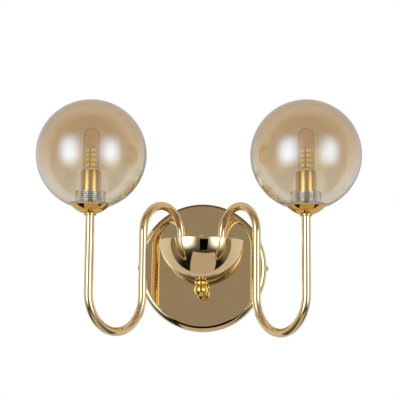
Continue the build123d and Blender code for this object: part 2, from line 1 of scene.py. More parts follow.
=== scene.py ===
from math import acos, asin, atan2, cos, degrees, pi, radians, sin, sqrt

import bpy
from mathutils import Matrix, Vector


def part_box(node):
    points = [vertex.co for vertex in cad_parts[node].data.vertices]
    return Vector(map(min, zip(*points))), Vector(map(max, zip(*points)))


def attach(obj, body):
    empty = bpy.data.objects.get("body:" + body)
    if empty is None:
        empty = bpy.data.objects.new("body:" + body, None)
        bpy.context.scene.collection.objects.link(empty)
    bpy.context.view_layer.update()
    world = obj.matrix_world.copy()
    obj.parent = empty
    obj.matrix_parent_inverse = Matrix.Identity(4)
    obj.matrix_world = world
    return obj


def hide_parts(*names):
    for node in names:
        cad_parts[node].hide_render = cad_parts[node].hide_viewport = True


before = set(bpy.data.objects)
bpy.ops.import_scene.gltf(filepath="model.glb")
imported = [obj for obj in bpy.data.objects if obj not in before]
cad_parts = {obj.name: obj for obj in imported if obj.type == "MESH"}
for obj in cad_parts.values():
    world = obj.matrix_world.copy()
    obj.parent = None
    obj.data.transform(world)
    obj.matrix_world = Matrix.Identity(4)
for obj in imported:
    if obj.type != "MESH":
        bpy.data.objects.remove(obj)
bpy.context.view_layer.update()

# Wall bracket: a bright zinc-plated steel strip, pressed and bent, that screws to the wall box.
# The nipple, rod and nuts that clamp the bowl, lid, arms and lamp holders are of the same plated steel,
# the first two cut from threaded bar.
noise_low, noise_high = 0.3, 0.7


def start_finish(name):
    """New material with its nodes, links and shader."""
    finish = bpy.data.materials.new(name)
    finish.use_nodes = True
    tree = finish.node_tree
    return finish, tree.nodes, tree.links, tree.nodes["Principled BSDF"]


def speckle(nodes, links, scale, detail=3.0, stretch=(1, 1, 1)):
    """Noise on the piece's own coordinates, about one over scale metres across."""
    place = nodes.new("ShaderNodeTexCoord")
    mapping = nodes.new("ShaderNodeMapping")
    noise = nodes.new("ShaderNodeTexNoise")
    mapping.inputs["Scale"].default_value = stretch
    noise.inputs["Scale"].default_value = scale
    noise.inputs["Detail"].default_value = detail
    links.new(place.outputs["Object"], mapping.inputs["Vector"])
    links.new(mapping.outputs["Vector"], noise.inputs["Vector"])
    return noise.outputs["Fac"]


def ramp(nodes, links, fac, low, high):
    """Colour that goes from low to high over the range where most of the noise lies."""
    colours = nodes.new("ShaderNodeValToRGB")
    colours.color_ramp.elements[0].position = noise_low
    colours.color_ramp.elements[1].position = noise_high
    colours.color_ramp.elements[0].color = (*low, 1)
    colours.color_ramp.elements[1].color = (*high, 1)
    links.new(fac, colours.inputs["Fac"])
    return colours.outputs["Color"]


def spread(nodes, links, fac, low, high):
    """Number that goes from low to high over the same range."""
    span = nodes.new("ShaderNodeMapRange")
    span.inputs["From Min"].default_value = noise_low
    span.inputs["From Max"].default_value = noise_high
    span.inputs["To Min"].default_value = low
    span.inputs["To Max"].default_value = high
    links.new(fac, span.inputs["Value"])
    return span.outputs["Result"]


def relief(nodes, links, shader, fac, height):
    """Bump of a real height in metres."""
    bump = nodes.new("ShaderNodeBump")
    bump.inputs["Strength"].default_value = 1.0
    bump.inputs["Distance"].default_value = height
    links.new(fac, bump.inputs["Height"])
    links.new(bump.outputs["Normal"], shader.inputs["Normal"])


def dress(finish, *names):
    """Give pieces of the frame their finish."""
    for name in names:
        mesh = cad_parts[name].data
        mesh.materials.clear()
        mesh.materials.append(finish)


zinc, nodes, links, shader = start_finish("zinc_steel")
shader.inputs["Metallic"].default_value = 1.0
grain = speckle(nodes, links, 900, stretch=(0.2, 1, 1))
spangle = speckle(nodes, links, 160)
links.new(ramp(nodes, links, spangle, (0.55, 0.56, 0.55), (0.68, 0.68, 0.65)), shader.inputs["Base Color"])
links.new(spread(nodes, links, grain, 0.22, 0.38), shader.inputs["Roughness"])
relief(nodes, links, shader, grain, 0.00002)
dress(zinc, "wall_bracket", "bowl_nipple", "nipple_nuts", "bowl_rod", "arm_nuts", "holder_nuts")

# Earth screw and terminal screws: plain turned brass, a little tarnished.
# The first goes into the bracket, the others clamp the leads in the terminal block.
brass, nodes, links, shader = start_finish("brass_screw")
shader.inputs["Metallic"].default_value = 1.0
tarnish = speckle(nodes, links, 400)
links.new(ramp(nodes, links, tarnish, (0.62, 0.45, 0.19), (0.78, 0.60, 0.28)), shader.inputs["Base Color"])
links.new(spread(nodes, links, tarnish, 0.36, 0.24), shader.inputs["Roughness"])
dress(brass, "earth_screw", "terminal_screws")

# Terminal block: cream plastic, moulded with a fine grain.
# It sits on the bracket behind the canopy.
moulded, nodes, links, shader = start_finish("terminal_plastic")
pebble = speckle(nodes, links, 2500)
links.new(ramp(nodes, links, pebble, (0.66, 0.63, 0.55), (0.74, 0.71, 0.63)), shader.inputs["Base Color"])
links.new(spread(nodes, links, pebble, 0.42, 0.55), shader.inputs["Roughness"])
relief(nodes, links, shader, pebble, 0.00003)
dress(moulded, "terminal_block")

# Canopy: a pan spun from steel sheet over the wall box, with a flat face and a round edge.
# It is plated in pale gold and polished to a mirror, and two side screws hold it on the bracket.
weld_gap = 0.000002
smooth_angle = radians(30)


def bow(centre, radius, start, end, steps):
    """Points on a round stretch of an outline, with its angles in degrees."""
    angles = [radians(start + (end - start) * step / steps) for step in range(steps + 1)]
    return [(centre[0] + radius * cos(angle), centre[1] + radius * sin(angle)) for angle in angles]


def turn(name, outline, axis="Z", centre=(0, 0, 0), steps=128):
    """Draw half an outline, as distances from the axis and along it, and spin it into a round piece."""
    axle = Vector([float(letter == axis) for letter in "XYZ"])
    across = Vector((1, 0, 0)) if axis == "Z" else Vector((0, 0, 1))
    points = [Vector(centre) + across * out + axle * far for out, far in outline]
    bpy.ops.object.select_all(action="DESELECT")
    bpy.ops.mesh.primitive_plane_add(size=0.001)
    piece = bpy.context.object
    piece.name = name
    bpy.ops.object.mode_set(mode="EDIT")
    bpy.ops.mesh.merge(type="CENTER")
    bpy.ops.transform.translate(value=points[0])
    for here, there in zip(points, points[1:]):
        bpy.ops.mesh.extrude_vertices_move(TRANSFORM_OT_translate={"value": there - here})
    bpy.ops.mesh.select_all(action="SELECT")
    bpy.ops.mesh.spin(steps=steps, angle=2 * pi, center=centre, axis=axle)
    tidy_mesh()
    return piece


def tidy_mesh():
    """Close seams and poles, turn the faces outwards and leave edit mode with smooth rounds."""
    bpy.ops.mesh.select_all(action="SELECT")
    bpy.ops.mesh.remove_doubles(threshold=weld_gap)
    bpy.ops.mesh.normals_make_consistent(inside=False)
    bpy.ops.object.mode_set(mode="OBJECT")
    bpy.ops.object.shade_smooth_by_angle(angle=smooth_angle)


def cut_away(piece, cutter):
    """Take the shape of a cutter out of a piece."""
    carve = piece.modifiers.new("cut", "BOOLEAN")
    carve.object = cutter
    carve.solver = "EXACT"
    bpy.ops.object.select_all(action="DESELECT")
    bpy.context.view_layer.objects.active = piece
    piece.select_set(True)
    bpy.ops.object.modifier_apply(modifier=carve.name)
    bpy.ops.object.shade_smooth_by_angle(angle=smooth_angle)
    bpy.data.objects.remove(cutter)


def fit(piece, finish, slot, body, *stands_for):
    """Give a modelled piece its finish and its place on a body."""
    piece.data.materials.append(finish)
    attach(piece, body)
    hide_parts(*stands_for)


def polish(name, low, high):
    """Mirror plating whose colour and gloss drift a little, as buffing leaves them."""
    plating, nodes, links, shader = start_finish(name)
    shader.inputs["Metallic"].default_value = 1.0
    cloud = speckle(nodes, links, 45)
    haze = speckle(nodes, links, 90, detail=2)
    links.new(ramp(nodes, links, cloud, low, high), shader.inputs["Base Color"])
    links.new(spread(nodes, links, haze, 0.025, 0.045), shader.inputs["Roughness"])
    return plating


pale_gold = polish("polished_gold", (0.815, 0.592, 0.300), (0.845, 0.618, 0.318))
canopy_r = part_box("canopy")[1][0]
face_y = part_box("canopy")[0][1]
canopy_wall = 0.0012
canopy_edge_r = 0.0065
canopy_inner_r = canopy_r - canopy_wall
inner_edge_r = canopy_edge_r - canopy_wall
flat_end = 0.0006
pan = [(0, face_y), (canopy_r - canopy_edge_r - flat_end, face_y)]
pan += bow((canopy_r - canopy_edge_r, face_y + canopy_edge_r), canopy_edge_r, -90, 0, 14)
pan += [(canopy_r, face_y + canopy_edge_r + flat_end), (canopy_r, -2 * flat_end)]
pan += bow((canopy_r - canopy_wall / 2, -canopy_wall / 2), canopy_wall / 2, 0, 180, 6)
pan += [(canopy_inner_r, face_y + canopy_edge_r + flat_end)]
pan += bow((canopy_inner_r - inner_edge_r, face_y + canopy_edge_r), inner_edge_r, 0, -90, 10)
pan += [(canopy_inner_r - inner_edge_r - flat_end, face_y + canopy_wall), (0, face_y + canopy_wall)]
canopy = turn("canopy_pan", pan, axis="Y", steps=192)
side_screw_y = -0.010
side_hole_r = 0.0023
bpy.ops.mesh.primitive_cylinder_add(vertices=32, radius=side_hole_r, depth=3 * canopy_r,
                                    location=(0, side_screw_y, 0), rotation=(0, pi / 2, 0))
cut_away(canopy, bpy.context.object)
fit(canopy, pale_gold, "polished_gold", "fixture", "canopy")

# Side screws: round-headed, slotted, turned from brass and plated like the canopy.
# Each goes through the canopy's side into a tab of the bracket.
sides = (("left", -1), ("right", 1))
head_r = 0.00325
head_side = 0.0011
head_height = 0.0024
shank_r = 0.002
shank_end = 0.0004
crown = head_height - head_side
crown_r = (head_r ** 2 + crown ** 2) / (2 * crown)
slot_width = 0.001
slot_depth = 0.0008
for side, sign in sides:
    screw_low, screw_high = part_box(f"side_screw_{side}")
    tip, top = sorted((screw_low[0], screw_high[0]), key=abs)
    seat = top - sign * head_height
    dome = bow((0, head_height - crown_r), crown_r, degrees(acos(head_r / crown_r)), 90, 10)
    screw_line = [(0, tip), (shank_r - shank_end, tip), (shank_r, tip + sign * shank_end), (shank_r, seat),
                  (head_r, seat)]
    screw_line += [(out, seat + sign * far) for out, far in dome[:-1]] + [(0, top)]
    screw = turn(f"screw_{side}", screw_line, axis="X", centre=(0, side_screw_y, 0), steps=48)
    bpy.ops.mesh.primitive_cube_add(size=1, location=(top, side_screw_y, 0),
                                    scale=(2 * slot_depth, slot_width, 3 * head_r))
    cut_away(screw, bpy.context.object)
    fit(screw, pale_gold, "polished_gold", f"side_screw_{side}", f"side_screw_{side}")

# Bowl: a half ball pressed from sheet metal, with a level rim, plated and polished like the canopy.
# The nipple clamps its flat back to the canopy, and a flat lid of the same metal lies just below its rim.
bowl_low, bowl_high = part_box("bowl")
bowl_r = bowl_high[0]
bowl_wall = 0.0012
bowl_rim_round = 0.0003
bowl_y = bowl_low[1] + bowl_r
bowl_z = bowl_low[2] + bowl_r
rim_z = bowl_high[2]
bowl_rim_angle = degrees(asin((rim_z - bowl_z) / bowl_r))
half_ball = bow((0, bowl_z), bowl_r, bowl_rim_angle, -90, 72)
bowl = turn("bowl_shell", half_ball, centre=(0, bowl_y, 0), steps=192)
bpy.ops.object.mode_set(mode="EDIT")
bpy.ops.mesh.select_all(action="SELECT")
bpy.ops.mesh.bisect(plane_co=(0, face_y, 0), plane_no=(0, 1, 0), clear_outer=True)
bpy.ops.mesh.edge_face_add()
tidy_mesh()
shell = bowl.modifiers.new("shell", "SOLIDIFY")
shell.thickness = bowl_wall
shell.offset = -1
bpy.ops.object.modifier_apply(modifier=shell.name)
rolled = bowl.modifiers.new("rolled", "BEVEL")
rolled.width = bowl_rim_round
rolled.segments = 3
rolled.angle_limit = radians(40)
bpy.ops.object.modifier_apply(modifier=rolled.name)
bpy.ops.object.shade_smooth_by_angle(angle=smooth_angle)
fit(bowl, pale_gold, "polished_gold", "fixture", "bowl")
dress(pale_gold, "bowl_lid")

# Dome nut and finial: turned from solid brass and plated in a deeper gold, then buffed.
# The nut draws the lid down on the rod, and the finial closes the rod under the bowl.
deep_gold = polish("turned_gold", (0.87, 0.58, 0.13), (0.90, 0.61, 0.16))
nut_low, nut_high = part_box("dome_nut")
dome_r = (nut_high[1] - nut_low[1]) / 2
dome_z = nut_high[2] - dome_r
hex_height = dome_z - nut_low[2]
hex_middle = (0, bowl_y, nut_low[2] + hex_height / 2)
hex_edge = 0.0003
cap_start = -4
bpy.ops.object.select_all(action="DESELECT")
bpy.ops.mesh.primitive_cylinder_add(vertices=6, radius=2 * dome_r / sqrt(3), depth=hex_height,
                                    location=hex_middle, rotation=(0, 0, pi / 6))
bpy.ops.object.transform_apply(location=True, rotation=True)
hexagon = bpy.context.object
bpy.ops.object.mode_set(mode="EDIT")
bpy.ops.mesh.select_all(action="SELECT")
bpy.ops.mesh.bevel(offset=hex_edge, segments=3, affect="EDGES")
tidy_mesh()
cap = turn("dome_nut_cap", bow((0, dome_z), dome_r, cap_start, 90, 28), centre=(0, bowl_y, 0), steps=96)
hexagon.select_set(True)
bpy.ops.object.join()
fit(cap, deep_gold, "polished_gold", "fixture", "dome_nut")

finial_low, finial_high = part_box("finial")
flange_r = 0.00725
flange_height = 0.0029
flange_edge = 0.0005
finial_neck_r = 0.00475
ball_r = 0.008
ball_z = finial_low[2] + ball_r
top_z = finial_high[2]
under_z = top_z - flange_height
finial_line = [(0, top_z)]
finial_line += bow((flange_r - flange_edge, top_z - flange_edge), flange_edge, 90, 0, 5)
finial_line += bow((flange_r - flange_edge, under_z + flange_edge), flange_edge, 0, -90, 5)
finial_line += [(finial_neck_r, under_z)]
finial_line += bow((0, ball_z), ball_r, degrees(acos(finial_neck_r / ball_r)), -90, 40)
finial = turn("finial_ball", finial_line, centre=(0, bowl_y, 0), steps=96)
fit(finial, deep_gold, "polished_gold", "fixture", "finial")

# Arms: swan-neck tubes bent from one length each, an arch up out of the bowl and a U below, then plated.
# Nuts lock their threaded ends on the lid and in the lamp holders. Inside them run the leads, in pale
# plastic sheaths.
tube_r = 0.00475
tube_wall = 0.001
arm_foot_z = 0.0195
arm_spread = 0.0474
arch_r = 0.032
arch_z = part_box("arm_left")[1][2] - arch_r - tube_r
bend_r = 0.0415
bend_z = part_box("arm_left")[0][2] + bend_r + tube_r
arm_angle = radians(51)
arm_top_z = 0.055
end_share = 0.03


def run_to(start_z, end_z):
    """Draw the tube's end straight on, with a ring close to each bend so that the straight stays straight."""
    run = end_z - start_z
    rings = [start_z, start_z + run * end_share, start_z + run * (1 - end_share), end_z]
    for here, there in zip(rings, rings[1:]):
        bpy.ops.mesh.extrude_region_move(TRANSFORM_OT_translate={"value": (0, 0, there - here)})


for side, sign in sides:
    outward = Vector((sign * cos(arm_angle), -sin(arm_angle), 0))
    foot = Vector((sign * arm_spread / 2, bowl_y, 0))
    leg = foot + 2 * arch_r * outward
    hinge = Vector((0, 0, 1)).cross(outward)
    arch_middle = foot + arch_r * outward + Vector((0, 0, arch_z))
    bend_middle = leg + bend_r * outward + Vector((0, 0, bend_z))
    bpy.ops.object.select_all(action="DESELECT")
    bpy.ops.mesh.primitive_circle_add(vertices=40, radius=tube_r, location=foot + Vector((0, 0, arm_foot_z)))
    bpy.ops.object.transform_apply(location=True)
    arm = bpy.context.object
    arm.name = f"arm_tube_{side}"
    bpy.ops.object.mode_set(mode="EDIT")
    bpy.ops.mesh.select_all(action="SELECT")
    run_to(arm_foot_z, arch_z)
    bpy.ops.mesh.spin(steps=56, angle=pi, center=arch_middle, axis=-hinge)
    run_to(arch_z, bend_z)
    bpy.ops.mesh.spin(steps=64, angle=pi, center=bend_middle, axis=hinge)
    run_to(bend_z, arm_top_z)
    tidy_mesh()
    wall = arm.modifiers.new("wall", "SOLIDIFY")
    wall.thickness = tube_wall
    wall.offset = -1
    bpy.ops.object.modifier_apply(modifier=wall.name)
    bpy.ops.object.shade_smooth_by_angle(angle=smooth_angle)
    fit(arm, pale_gold, "polished_gold", "fixture", f"arm_{side}")

sheath, nodes, links, shader = start_finish("lead_sheath")
wisp = speckle(nodes, links, 600)
links.new(ramp(nodes, links, wisp, (0.62, 0.60, 0.55), (0.70, 0.68, 0.62)), shader.inputs["Base Color"])
links.new(spread(nodes, links, wisp, 0.3, 0.42), shader.inputs["Roughness"])
dress(sheath, "lead_left", "lead_right")

# Cups and cup rings: brass plated in a rich gold, the cups pressed into shallow dishes, the rings turned.
# Each ring screws on its tube and carries a cup, and the globe's mouth rests on the cup's rim.
rich_gold = polish("cup_gold", (0.79, 0.45, 0.09), (0.82, 0.48, 0.11))
cup_low, cup_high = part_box("cup_right")
lamp_x = (cup_low[0] + cup_high[0]) / 2
lamp_y = (cup_low[1] + cup_high[1]) / 2
cup_rim_r = (cup_high[0] - cup_low[0]) / 2
cup_land_r = 0.007
cup_wall = 0.001
cup_z, cup_rim_z = cup_low[2], cup_high[2]
cup_height = cup_rim_z - cup_z
dish_rise = (cup_rim_r ** 2 - cup_land_r ** 2 + cup_height ** 2) / (2 * cup_height)
dish_z = cup_z + dish_rise
dish_r = sqrt(cup_land_r ** 2 + dish_rise ** 2)
dish_inner_r = dish_r - cup_wall
bore_gap = 0.0001
bore_r = tube_r + bore_gap
rim_round = 0.0003
rim_in = 0.2 * rim_round
rim_down = 0.3 * rim_round
land_angle = -degrees(acos(cup_land_r / dish_r))
cup_rim_angle = degrees(asin((cup_rim_z - rim_round - dish_z) / dish_r))
inner_rim_angle = degrees(asin((cup_rim_z - rim_round - dish_z) / dish_inner_r))
inner_land_angle = degrees(asin((cup_z + cup_wall - dish_z) / dish_inner_r))
dish = [(bore_r, cup_z)] + bow((0, dish_z), dish_r, land_angle, cup_rim_angle, 28)
dish += [(dish[-1][0] - rim_in, cup_rim_z - rim_down), (dish[-1][0] - rim_round, cup_rim_z)]
inside = bow((0, dish_z), dish_inner_r, inner_rim_angle, inner_land_angle, 28)
dish += [(inside[0][0] + rim_round, cup_rim_z), (inside[0][0] + rim_in, cup_rim_z - rim_down)]
dish += inside + [(bore_r, cup_z + cup_wall), (bore_r, cup_z)]
ring_r = 0.00675
ring_round = 0.0007
ring_edge = 0.0002
ring_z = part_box("cup_ring_right")[0][2]
ring_line = [(bore_r, ring_z)] + bow((ring_r - ring_round, ring_z + ring_round), ring_round, -90, 0, 8)
ring_line += bow((ring_r - ring_edge, cup_z - ring_edge), ring_edge, 0, 90, 4)
ring_line += [(bore_r, cup_z), (bore_r, ring_z)]
for side, sign in sides:
    lamp = (sign * lamp_x, lamp_y, 0)
    cup = turn(f"cup_dish_{side}", dish, centre=lamp, steps=128)
    fit(cup, rich_gold, "polished_gold", "fixture", f"cup_{side}")
    ring = turn(f"ring_nut_{side}", ring_line, centre=lamp, steps=96)
    fit(ring, rich_gold, "polished_gold", "fixture", f"cup_ring_{side}")

# Threaded collars: turned from aluminium and left bright, with round-topped ridges.
# The globe's neck screws on the ridges, and a nut clamps each collar through its floor into the cup.
collar_low, collar_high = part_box("threaded_collar_right")
crest_r = (collar_high[0] - collar_low[0]) / 2
ridge_depth = 0.0009
root_r = crest_r - ridge_depth
ridge_pitch = 0.0021
ridge_turns = 5
foot_r = 0.0067
dish_gap = 0.0003
body_z = dish_z - sqrt(dish_inner_r ** 2 - root_r ** 2) + dish_gap
collar_floor = 0.003
floor_z = collar_low[2] + collar_floor
spigot_r = 0.0099
spigot_height = 0.004
spigot_top_z = collar_high[2]
shoulder_z = spigot_top_z - spigot_height
collar_bore_r = 0.0085
collar_line = [(bore_r, collar_low[2]), (foot_r, collar_low[2]), (foot_r, body_z), (root_r, body_z)]
ridge_z = shoulder_z - ridge_pitch / 2 - ridge_turns * ridge_pitch
ridge_steps = 16
groove_power = 3
for step in range(ridge_turns * ridge_steps + 1):
    groove_share = ((1 + cos(2 * pi * step / ridge_steps)) / 2) ** groove_power
    collar_line.append((crest_r - ridge_depth * groove_share, ridge_z + ridge_pitch * step / ridge_steps))
collar_line += [(root_r, shoulder_z), (spigot_r, shoulder_z), (spigot_r, spigot_top_z),
                (collar_bore_r, spigot_top_z), (collar_bore_r, floor_z), (bore_r, floor_z),
                (bore_r, collar_low[2])]
turned, nodes, links, shader = start_finish("turned_aluminium")
shader.inputs["Metallic"].default_value = 1.0
lathe_marks = speckle(nodes, links, 300, stretch=(0.05, 0.05, 12))
# A wave along the collar paints shade into the grooves: the base colour runs from the crest colours to a dark
# brown at each groove's root.
wave_radians = 20
groove_shade_wave = nodes.new("ShaderNodeTexWave")
groove_shade_wave.bands_direction = "Z"
groove_shade_wave.inputs["Scale"].default_value = 2 * pi / wave_radians / ridge_pitch
groove_shade_wave.inputs["Phase Offset"].default_value = -2 * pi * ridge_z / ridge_pitch
links.new(nodes.new("ShaderNodeTexCoord").outputs["Object"], groove_shade_wave.inputs["Vector"])
bright = ramp(nodes, links, lathe_marks, (0.93, 0.89, 0.79), (0.97, 0.94, 0.85))
painted_groove_shade = nodes.new("ShaderNodeMix")
painted_groove_shade.data_type = "RGBA"
painted_groove_shade.inputs[6].default_value = (0.50, 0.44, 0.33, 1)
links.new(spread(nodes, links, groove_shade_wave.outputs["Fac"], 0, 1), painted_groove_shade.inputs[0])
links.new(bright, painted_groove_shade.inputs[7])
links.new(painted_groove_shade.outputs[2], shader.inputs["Base Color"])
links.new(spread(nodes, links, lathe_marks, 0.08, 0.14), shader.inputs["Roughness"])
for side, sign in sides:
    collar = turn(f"collar_ridged_{side}", collar_line, centre=(sign * lamp_x, lamp_y, 0), steps=112)
    fit(collar, turned, "turned_aluminium", "fixture", f"threaded_collar_{side}")

# Sleeves: thin brass tubes with rolled ends, plated in a warm gold.
# Each is pushed over the collar's spigot and hides a socket of white ceramic.
sleeve_low, sleeve_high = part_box("sleeve_right")
sleeve_r = (sleeve_high[0] - sleeve_low[0]) / 2
sleeve_wall = 0.001
lip = sleeve_wall / 2
sleeve_line = bow((sleeve_r - lip, sleeve_high[2] - lip), lip, 0, 180, 8)
sleeve_line += [(sleeve_r - sleeve_wall, sleeve_low[2]), (sleeve_r - lip / 2, sleeve_low[2])]
sleeve_line += [(sleeve_r, sleeve_low[2] + lip / 2), sleeve_line[0]]
sleeve_gold = polish("sleeve_gold", (0.93, 0.59, 0.13), (0.96, 0.62, 0.16))
glazed, nodes, links, shader = start_finish("white_ceramic")
glaze = speckle(nodes, links, 300)
links.new(ramp(nodes, links, glaze, (0.76, 0.75, 0.71), (0.82, 0.81, 0.78)), shader.inputs["Base Color"])
links.new(spread(nodes, links, glaze, 0.18, 0.3), shader.inputs["Roughness"])
for side, sign in sides:
    sleeve = turn(f"sleeve_tube_{side}", sleeve_line, centre=(sign * lamp_x, lamp_y, 0), steps=112)
    fit(sleeve, sleeve_gold, "polished_gold", "fixture", f"sleeve_{side}")
    dress(glazed, f"socket_{side}")

# Bulbs: a moulded plastic base with two tinned pins carries a square post of four boards.
# Yellow chips are soldered on the boards, and a clear cover with a round end is glued over the base.
plastic, nodes, links, shader = start_finish("bulb_plastic")
fleck = speckle(nodes, links, 1500)
links.new(ramp(nodes, links, fleck, (0.55, 0.47, 0.33), (0.62, 0.54, 0.39)), shader.inputs["Base Color"])
links.new(spread(nodes, links, fleck, 0.35, 0.5), shader.inputs["Roughness"])
tinned, nodes, links, shader = start_finish("pin_metal")
shader.inputs["Metallic"].default_value = 1.0
smear = speckle(nodes, links, 900)
links.new(ramp(nodes, links, smear, (0.66, 0.66, 0.66), (0.78, 0.78, 0.77)), shader.inputs["Base Color"])
links.new(spread(nodes, links, smear, 0.2, 0.35), shader.inputs["Roughness"])
post, nodes, links, shader = start_finish("led_core")
matt = speckle(nodes, links, 900)
links.new(ramp(nodes, links, matt, (0.10, 0.08, 0.05), (0.16, 0.13, 0.09)), shader.inputs["Base Color"])
links.new(spread(nodes, links, matt, 0.45, 0.6), shader.inputs["Roughness"])
board, nodes, links, shader = start_finish("led_board")
lacquer = speckle(nodes, links, 1200)
links.new(ramp(nodes, links, lacquer, (0.46, 0.33, 0.13), (0.54, 0.40, 0.17)), shader.inputs["Base Color"])
links.new(spread(nodes, links, lacquer, 0.3, 0.45), shader.inputs["Roughness"])
phosphor, nodes, links, shader = start_finish("led_phosphor")
powder = speckle(nodes, links, 3000)
links.new(ramp(nodes, links, powder, (0.93, 0.68, 0.13), (0.97, 0.75, 0.19)), shader.inputs["Base Color"])
links.new(spread(nodes, links, powder, 0.4, 0.55), shader.inputs["Roughness"])
clear, nodes, links, shader = start_finish("clear_cover")
shader.inputs["Transmission Weight"].default_value = 1.0
shader.inputs["IOR"].default_value = 1.06
film = speckle(nodes, links, 200)
links.new(ramp(nodes, links, film, (0.955, 0.905, 0.85), (0.98, 0.93, 0.875)), shader.inputs["Base Color"])
links.new(spread(nodes, links, film, 0.0, 0.02), shader.inputs["Roughness"])

base_low, base_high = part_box("bulb_base_right")
base_r = (base_high[0] - base_low[0]) / 2
base_edge = 0.0005
base_line = [(0, base_low[2])] + bow((base_r - base_edge, base_low[2] + base_edge), base_edge, -90, 0, 4)
base_line += bow((base_r - base_edge, base_high[2] - base_edge), base_edge, 0, 90, 4) + [(0, base_high[2])]
cover_low, cover_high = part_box("bulb_cover_right")
cover_r = (cover_high[0] - cover_low[0]) / 2
cover_wall = 0.0012
end_z = cover_high[2] - cover_r
cover_line = [(cover_r - cover_wall, cover_low[2]), (cover_r, cover_low[2])]
cover_line += bow((0, end_z), cover_r, 0, 90, 28) + bow((0, end_z), cover_r - cover_wall, 90, 0, 28)
cover_line += [cover_line[0]]
bulb_turn = radians(35)
chip_size = Vector((0.0023, 0.0007, 0.0035))
chip_pitch = (0.0030, 0.0054)
chip_rows = 4
chip_edge = 0.00018
post_half = 0.00335
board_wall = 0.0008
chip_out = post_half + board_wall + chip_size.y / 2
board_low, board_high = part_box("led_boards_right")
board_z = (board_low[2] + board_high[2]) / 2
for side, sign in sides:
    lamp = Vector((sign * lamp_x, lamp_y, 0))
    base = turn(f"base_{side}", base_line, centre=lamp, steps=80)
    fit(base, plastic, "bulb_plastic", f"bulb_{side}", f"bulb_base_{side}")
    cover = turn(f"cover_{side}", cover_line, centre=lamp, steps=96)
    fit(cover, clear, "clear_cover", f"bulb_{side}", f"bulb_cover_{side}")
    cover.visible_shadow = False
    cover.visible_diffuse = False
    bpy.ops.object.select_all(action="DESELECT")
    bpy.ops.mesh.primitive_cube_add(size=1, location=(0, 0, 0))
    chips = bpy.context.object
    chips.name = f"chips_{side}"
    bpy.ops.object.mode_set(mode="EDIT")
    bpy.ops.mesh.delete(type="VERT")
    for quarter in range(4):
        facing = bulb_turn + quarter * pi / 2
        outward = Vector((sin(facing), -cos(facing), 0))
        edgewise = Vector((cos(facing), sin(facing), 0))
        for column in (-0.5, 0.5):
            for row in range(chip_rows):
                up = board_z + (row - (chip_rows - 1) / 2) * chip_pitch[1]
                spot = lamp + outward * chip_out + edgewise * column * chip_pitch[0] + Vector((0, 0, up))
                bpy.ops.mesh.primitive_cube_add(size=1, location=spot, rotation=(0, 0, facing),
                                                scale=chip_size)
    bpy.ops.mesh.select_all(action="SELECT")
    bpy.ops.mesh.bevel(offset=chip_edge, segments=2, affect="EDGES")
    tidy_mesh()
    fit(chips, phosphor, "led_phosphor", f"bulb_{side}", f"led_chips_{side}")
    dress(tinned, f"bulb_pins_{side}")
    dress(post, f"led_core_{side}")
    dress(board, f"led_boards_{side}")

# Gaskets: rings of clear silicone punched from a flat piece, coloured a warm pale gold as a painted highlight
# of the cup's gold rim.
# Each lies on a cup's rim, under the globe's mouth.
gasket_painted_glint, nodes, links, shader = start_finish("clear_silicone")
shader.inputs["Transmission Weight"].default_value = 0.5
shader.inputs["IOR"].default_value = 1.41
bloom = speckle(nodes, links, 700)
# Warm pale gold base colour: a painted highlight of the cup's rim, not a tint of the silicone.
links.new(ramp(nodes, links, bloom, (0.86, 0.70, 0.42), (0.92, 0.77, 0.50)), shader.inputs["Base Color"])
links.new(spread(nodes, links, bloom, 0.25, 0.4), shader.inputs["Roughness"])
dress(gasket_painted_glint, "gasket_left", "gasket_right")

# Globes: clear glass blown into a mould, with a flat mouth that turns up into a thick neck.
# The outside carries a thin amber lustre that pales towards the mouth.
# Each globe screws down on its collar until its mouth meets the gasket on the cup.
globe_low, globe_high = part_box("globe_right")
lustre, nodes, links, shader = start_finish("amber_glass")
shader.inputs["Transmission Weight"].default_value = 1.0
shader.inputs["IOR"].default_value = 1.5
shader.inputs["Coat Weight"].default_value = 1.0
shader.inputs["Coat IOR"].default_value = 2.3
shader.inputs["Coat Roughness"].default_value = 0.24
upright = nodes.new("ShaderNodeSeparateXYZ")
links.new(nodes.new("ShaderNodeTexCoord").outputs["Object"], upright.inputs["Vector"])
level = nodes.new("ShaderNodeMapRange")
level.inputs["From Min"].default_value = globe_low[2]
level.inputs["From Max"].default_value = globe_high[2]
links.new(upright.outputs["Z"], level.inputs["Value"])
drift_share = 0.12
drift = nodes.new("ShaderNodeMath")
drift.operation = "MULTIPLY_ADD"
drift.inputs[1].default_value = drift_share
links.new(speckle(nodes, links, 18), drift.inputs[0])
links.new(level.outputs["Result"], drift.inputs[2])
ambers = (
    (0.26, (0.77, 0.64, 0.44)),
    (0.54, (0.575, 0.365, 0.145)),
    (0.98, (0.58, 0.355, 0.125)),
)
fading = nodes.new("ShaderNodeValToRGB")
fading.color_ramp.elements.new(0.5)
for stop, (level_share, amber) in zip(fading.color_ramp.elements, ambers):
    stop.position = level_share
    stop.color = (*amber, 1)
links.new(drift.outputs["Value"], fading.inputs["Fac"])
links.new(fading.outputs["Color"], shader.inputs["Base Color"])
links.new(spread(nodes, links, speckle(nodes, links, 60), 0.0, 0.015), shader.inputs["Roughness"])
plain_glass, nodes, links, shader = start_finish("plain_glass")
shader.inputs["Transmission Weight"].default_value = 1.0
shader.inputs["IOR"].default_value = 1.5
streak = speckle(nodes, links, 30)
links.new(ramp(nodes, links, streak, (0.96, 0.96, 0.95), (0.99, 0.99, 0.98)), shader.inputs["Base Color"])
links.new(spread(nodes, links, streak, 0.0, 0.01), shader.inputs["Roughness"])

